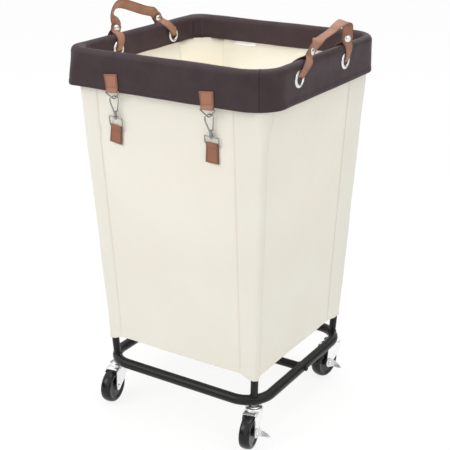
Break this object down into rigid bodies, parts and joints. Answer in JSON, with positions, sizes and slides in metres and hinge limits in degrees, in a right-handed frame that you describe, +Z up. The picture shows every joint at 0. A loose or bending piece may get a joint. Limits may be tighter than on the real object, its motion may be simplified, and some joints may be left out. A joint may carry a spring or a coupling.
{
  "type": "laundry cart",
  "caption": "Tapered square canvas laundry bag hung from a black tube frame on swivel casters, with a dark cuff, leather strap handles and snap-hook clips.",
  "frame": {"origin": "on the floor under the middle of the cart", "axes": "+Z up; -Y is the front, the side with the two clips; the strap handles are on the +X and -X sides"},
  "size_m": [0.4874, 0.485, 0.8682],
  "materials": {
    "frame": "satin black powder coat",
    "canvas": "plain-woven cream cotton canvas",
    "cuff": "dark brown leather-look cuff, semi-matt",
    "strap": "tan leather strap, semi-matt",
    "nickel": "nickel plated",
    "zinc": "bright zinc plated pressed steel",
    "wheel": "glossy black moulded rubber and plastic"
  },
  "bodies": {
    "frame_and_bag": {"base_ring": "frame", "cross_bar": "frame", "cross_bar_bolt_left": "frame", "cross_bar_bolt_right": "frame", "corner_post_front_left": "frame", "corner_post_front_right": "frame", "corner_post_back_right": "frame", "corner_post_back_left": "frame", "top_ring": "frame", "cuff": "cuff", "bag_front_panel": "canvas", "bag_back_panel": "canvas", "bag_left_panel": "canvas", "bag_right_panel": "canvas", "bag_floor_panel": "canvas", "grommet_left_slanted": "nickel", "handle_loop_left_slanted": "strap", "handle_rivet_left_slanted": "nickel", "grommet_left_upright": "nickel", "handle_loop_left_upright": "strap", "handle_rivet_left_upright": "nickel", "grommet_right_slanted": "nickel", "handle_loop_right_slanted": "strap", "handle_rivet_right_slanted": "nickel", "grommet_right_upright": "nickel", "handle_loop_right_upright": "strap", "handle_rivet_right_upright": "nickel", "clip_upper_tab_left": "strap", "clip_ring_left": "nickel", "clip_eye_left": "nickel", "clip_lower_tab_left": "strap", "clip_upper_tab_right": "strap", "clip_ring_right": "nickel", "clip_eye_right": "nickel", "clip_lower_tab_right": "strap", "caster_stem_front_left": "zinc", "caster_stem_front_right": "zinc", "caster_stem_back_right": "zinc", "caster_stem_back_left": "zinc"},
    "caster_front_left": {"caster_fork_front_left": "zinc", "caster_axle_front_left": "zinc"},
    "wheel_front_left": {"caster_wheel_front_left": "wheel"},
    "caster_front_right": {"caster_fork_front_right": "zinc", "caster_axle_front_right": "zinc"},
    "wheel_front_right": {"caster_wheel_front_right": "wheel"},
    "brake_front_right": {"brake_lever_front_right": "zinc"},
    "caster_back_right": {"caster_fork_back_right": "zinc", "caster_axle_back_right": "zinc"},
    "wheel_back_right": {"caster_wheel_back_right": "wheel"},
    "brake_back_right": {"brake_lever_back_right": "zinc"},
    "caster_back_left": {"caster_fork_back_left": "zinc", "caster_axle_back_left": "zinc"},
    "wheel_back_left": {"caster_wheel_back_left": "wheel"},
    "handle_left": {"handle_grip_left": "strap"},
    "handle_right": {"handle_grip_right": "strap"},
    "clip_hook_left": {"clip_hook_left": "nickel"},
    "clip_gate_left": {"clip_gate_left": "nickel"},
    "clip_hook_right": {"clip_hook_right": "nickel"},
    "clip_gate_right": {"clip_gate_right": "nickel"}
  },
  "joints": [
    {"name": "caster_swivel_front_left", "type": "hinge", "parent": "frame_and_bag", "child": "caster_front_left", "pos_m": [-0.17801, -0.17801, 0.08], "axis": [0, 0, 1], "continuous": true},
    {"name": "wheel_spin_front_left", "type": "hinge", "parent": "caster_front_left", "child": "wheel_front_left", "pos_m": [-0.17411, -0.20473, 0.0375], "axis": [0.9895, 0.1444, 0], "continuous": true},
    {"name": "caster_swivel_front_right", "type": "hinge", "parent": "frame_and_bag", "child": "caster_front_right", "pos_m": [0.17801, -0.17801, 0.08], "axis": [0, 0, 1], "continuous": true},
    {"name": "wheel_spin_front_right", "type": "hinge", "parent": "caster_front_right", "child": "wheel_front_right", "pos_m": [0.18316, -0.20452, 0.0375], "axis": [0.9816, 0.1908, 0], "continuous": true},
    {"name": "brake_front_right", "type": "hinge", "parent": "caster_front_right", "child": "brake_front_right", "pos_m": [0.18316, -0.20452, 0.0375], "axis": [-0.9816, -0.1908, 0], "range_deg": [0, 25]},
    {"name": "caster_swivel_back_right", "type": "hinge", "parent": "frame_and_bag", "child": "caster_back_right", "pos_m": [0.17801, 0.17801, 0.08], "axis": [0, 0, 1], "continuous": true},
    {"name": "wheel_spin_back_right", "type": "hinge", "parent": "caster_back_right", "child": "wheel_back_right", "pos_m": [0.17351, 0.15139, 0.0375], "axis": [0.986, -0.1668, 0], "continuous": true},
    {"name": "brake_back_right", "type": "hinge", "parent": "caster_back_right", "child": "brake_back_right", "pos_m": [0.17351, 0.15139, 0.0375], "axis": [-0.986, 0.1668, 0], "range_deg": [0, 25]},
    {"name": "caster_swivel_back_left", "type": "hinge", "parent": "frame_and_bag", "child": "caster_back_left", "pos_m": [-0.17801, 0.17801, 0.08], "axis": [0, 0, 1], "continuous": true},
    {"name": "wheel_spin_back_left", "type": "hinge", "parent": "caster_back_left", "child": "wheel_back_left", "pos_m": [-0.18191, 0.20473, 0.0375], "axis": [-0.9895, -0.1444, 0], "continuous": true},
    {"name": "handle_fold_left", "type": "hinge", "parent": "frame_and_bag", "child": "handle_left", "pos_m": [-0.232, 0, 0.8205], "axis": [0, 1, 0], "range_deg": [-100, 100], "stiffness_Nm_per_rad": 0.02},
    {"name": "handle_fold_right", "type": "hinge", "parent": "frame_and_bag", "child": "handle_right", "pos_m": [0.232, 0, 0.8205], "axis": [0, 1, 0], "range_deg": [-100, 100], "stiffness_Nm_per_rad": 0.02},
    {"name": "clip_swivel_left", "type": "hinge", "parent": "frame_and_bag", "child": "clip_hook_left", "pos_m": [-0.11241, -0.23645, 0.71006], "axis": [0.128, -0.2234, 0.9663], "range_deg": [0, 100]},
    {"name": "clip_gate_left", "type": "hinge", "parent": "clip_hook_left", "child": "clip_gate_left", "pos_m": [-0.11287, -0.22704, 0.68249], "axis": [0.6675, -0.7012, -0.2505], "range_deg": [0, 18], "stiffness_Nm_per_rad": 0.01},
    {"name": "clip_swivel_right", "type": "hinge", "parent": "frame_and_bag", "child": "clip_hook_right", "pos_m": [0.10916, -0.23601, 0.70481], "axis": [0.0421, -0.2347, 0.9712], "range_deg": [0, 100]},
    {"name": "clip_gate_right", "type": "hinge", "parent": "clip_hook_right", "child": "clip_gate_right", "pos_m": [0.11114, -0.22628, 0.67742], "axis": [0.6867, -0.6992, -0.1988], "range_deg": [0, 18], "stiffness_Nm_per_rad": 0.01}
  ]
}
